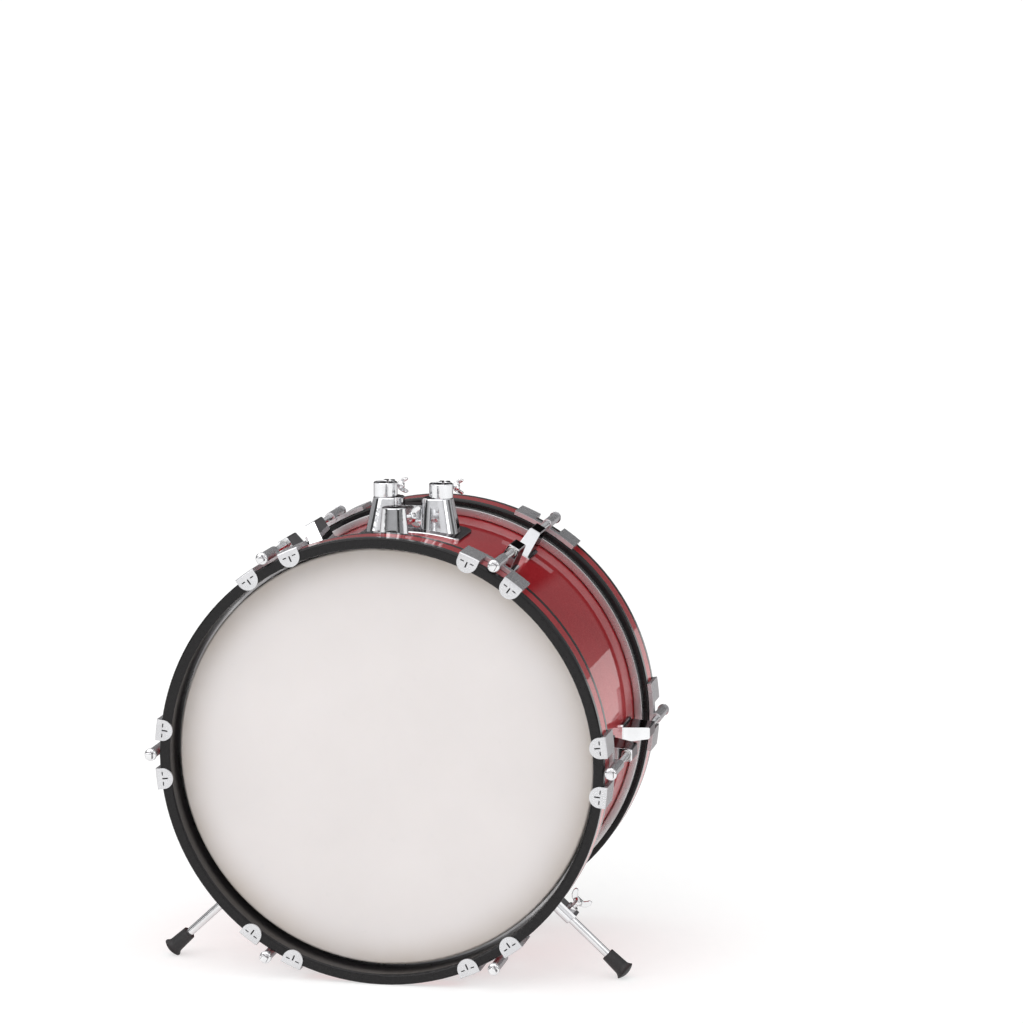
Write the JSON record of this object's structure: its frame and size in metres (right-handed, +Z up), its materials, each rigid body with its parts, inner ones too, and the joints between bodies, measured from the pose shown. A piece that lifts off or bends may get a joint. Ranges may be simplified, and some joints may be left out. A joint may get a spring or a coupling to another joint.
{
  "type": "bass drum",
  "caption": "Small bass drum with wrapped shell, two hooped heads, claws and key rods, a base with sockets for tom posts, a cymbal arm socket and sliding spurs.",
  "frame": {"origin": "on the floor, under the middle of the drum, at mid-depth between the two heads", "axes": "+Z up; Y is the drum's axis, with the front head (away from the player) facing -Y and the pedal side facing +Y; +X is to the right as seen from the front"},
  "size_m": [0.4686, 0.33, 0.4709],
  "materials": {
    "shell": "satin",
    "wrap": "gloss",
    "grommet": "polished",
    "inlay": "gloss",
    "flesh_hoop": "satin",
    "hoop": "gloss black lacquer",
    "head": "coated film",
    "claw": "polished",
    "lug": "polished",
    "swivel_nut": "satin",
    "washer": "polished",
    "tension_rod": "polished",
    "mount_plate": "polished",
    "mount_casting": "polished",
    "backing_plate": "satin",
    "collar": "polished",
    "wing_bolt": "polished",
    "arm_socket": "polished",
    "spur_bracket": "polished",
    "spur_rod": "polished",
    "spur_foot": "matte",
    "screw": "satin"
  },
  "bodies": {
    "drum": {"cymbal_arm_socket": "arm_socket", "cymbal_socket_screws": "screw", "front_claws": "claw", "front_flesh_hoop": "flesh_hoop", "front_head": "head", "front_hoop": "hoop", "front_hoop_inlay": "inlay", "front_lugs": "lug", "front_rod_washers": "washer", "front_swivel_nuts": "swivel_nut", "left_post_collar": "collar", "left_spur_bracket": "spur_bracket", "lug_screws": "screw", "rear_claws": "claw", "rear_flesh_hoop": "flesh_hoop", "rear_head": "head", "rear_hoop": "hoop", "rear_hoop_inlay": "inlay", "rear_lugs": "lug", "rear_rod_washers": "washer", "rear_swivel_nuts": "swivel_nut", "right_post_collar": "collar", "right_spur_bracket": "spur_bracket", "shell": "shell", "shell_wrap": "wrap", "spur_bracket_nuts": "screw", "spur_bracket_screws": "screw", "tom_mount_backing_plate": "backing_plate", "tom_mount_casting": "mount_casting", "tom_mount_plate": "mount_plate", "tom_mount_screws": "screw", "vent_grommet": "grommet"},
    "cymbal_socket_wing_bolt": {"cymbal_socket_wing_bolt": "wing_bolt"},
    "front_tension_rod_1": {"front_tension_rod_1": "tension_rod"},
    "front_tension_rod_2": {"front_tension_rod_2": "tension_rod"},
    "front_tension_rod_3": {"front_tension_rod_3": "tension_rod"},
    "front_tension_rod_4": {"front_tension_rod_4": "tension_rod"},
    "front_tension_rod_5": {"front_tension_rod_5": "tension_rod"},
    "front_tension_rod_6": {"front_tension_rod_6": "tension_rod"},
    "left_collar_wing_bolt": {"left_collar_wing_bolt": "wing_bolt"},
    "left_spur_wing_bolt": {"left_spur_wing_bolt": "wing_bolt"},
    "rear_tension_rod_1": {"rear_tension_rod_1": "tension_rod"},
    "rear_tension_rod_2": {"rear_tension_rod_2": "tension_rod"},
    "rear_tension_rod_3": {"rear_tension_rod_3": "tension_rod"},
    "rear_tension_rod_4": {"rear_tension_rod_4": "tension_rod"},
    "rear_tension_rod_5": {"rear_tension_rod_5": "tension_rod"},
    "rear_tension_rod_6": {"rear_tension_rod_6": "tension_rod"},
    "right_collar_wing_bolt": {"right_collar_wing_bolt": "wing_bolt"},
    "right_spur_wing_bolt": {"right_spur_wing_bolt": "wing_bolt"},
    "left_spur": {"left_spur_rod": "spur_rod", "left_spur_foot": "spur_foot"},
    "right_spur": {"right_spur_rod": "spur_rod", "right_spur_foot": "spur_foot"}
  },
  "joints": [
    {"name": "front_tension_rod_1_spin", "type": "hinge", "parent": "drum", "child": "front_tension_rod_1", "pos_m": [-0.11275, -0.1, 0.02271], "axis": [0, 1, 0], "continuous": true},
    {"name": "front_tension_rod_2_spin", "type": "hinge", "parent": "drum", "child": "front_tension_rod_2", "pos_m": [-0.2255, -0.1, 0.218], "axis": [0, 1, 0], "continuous": true},
    {"name": "front_tension_rod_3_spin", "type": "hinge", "parent": "drum", "child": "front_tension_rod_3", "pos_m": [-0.11275, -0.1, 0.41329], "axis": [0, 1, 0], "continuous": true},
    {"name": "front_tension_rod_4_spin", "type": "hinge", "parent": "drum", "child": "front_tension_rod_4", "pos_m": [0.11275, -0.1, 0.41329], "axis": [0, 1, 0], "continuous": true},
    {"name": "front_tension_rod_5_spin", "type": "hinge", "parent": "drum", "child": "front_tension_rod_5", "pos_m": [0.2255, -0.1, 0.218], "axis": [0, 1, 0], "continuous": true},
    {"name": "front_tension_rod_6_spin", "type": "hinge", "parent": "drum", "child": "front_tension_rod_6", "pos_m": [0.11275, -0.1, 0.02271], "axis": [0, 1, 0], "continuous": true},
    {"name": "rear_tension_rod_1_spin", "type": "hinge", "parent": "drum", "child": "rear_tension_rod_1", "pos_m": [-0.11275, 0.1, 0.02271], "axis": [0, 1, 0], "continuous": true},
    {"name": "rear_tension_rod_2_spin", "type": "hinge", "parent": "drum", "child": "rear_tension_rod_2", "pos_m": [-0.2255, 0.1, 0.218], "axis": [0, 1, 0], "continuous": true},
    {"name": "rear_tension_rod_3_spin", "type": "hinge", "parent": "drum", "child": "rear_tension_rod_3", "pos_m": [-0.11275, 0.1, 0.41329], "axis": [0, 1, 0], "continuous": true},
    {"name": "rear_tension_rod_4_spin", "type": "hinge", "parent": "drum", "child": "rear_tension_rod_4", "pos_m": [0.11275, 0.1, 0.41329], "axis": [0, 1, 0], "continuous": true},
    {"name": "rear_tension_rod_5_spin", "type": "hinge", "parent": "drum", "child": "rear_tension_rod_5", "pos_m": [0.2255, 0.1, 0.218], "axis": [0, 1, 0], "continuous": true},
    {"name": "rear_tension_rod_6_spin", "type": "hinge", "parent": "drum", "child": "rear_tension_rod_6", "pos_m": [0.11275, 0.1, 0.02271], "axis": [0, 1, 0], "continuous": true},
    {"name": "left_collar_wing_bolt_spin", "type": "hinge", "parent": "drum", "child": "left_collar_wing_bolt", "pos_m": [-0.028, 0.015, 0.463], "axis": [1, 0, 0], "continuous": true},
    {"name": "right_collar_wing_bolt_spin", "type": "hinge", "parent": "drum", "child": "right_collar_wing_bolt", "pos_m": [0.028, 0.015, 0.463], "axis": [1, 0, 0], "continuous": true},
    {"name": "cymbal_socket_wing_bolt_spin", "type": "hinge", "parent": "drum", "child": "cymbal_socket_wing_bolt", "pos_m": [0, -0.085, 0.445], "axis": [0.8192, 0.5736, 0], "continuous": true},
    {"name": "left_spur_wing_bolt_spin", "type": "hinge", "parent": "drum", "child": "left_spur_wing_bolt", "pos_m": [-0.16912, -0.083, 0.06139], "axis": [-0.6794, 0, 0.7337], "continuous": true},
    {"name": "right_spur_wing_bolt_spin", "type": "hinge", "parent": "drum", "child": "right_spur_wing_bolt", "pos_m": [0.16912, -0.083, 0.06139], "axis": [0.6794, 0, 0.7337], "continuous": true},
    {"name": "left_spur_slide", "type": "slide", "parent": "drum", "child": "left_spur", "axis": [-0.7337, 0, -0.6794], "range_m": [-0.045, 0.04]},
    {"name": "right_spur_slide", "type": "slide", "parent": "drum", "child": "right_spur", "axis": [0.7337, 0, -0.6794], "range_m": [-0.045, 0.04]}
  ]
}
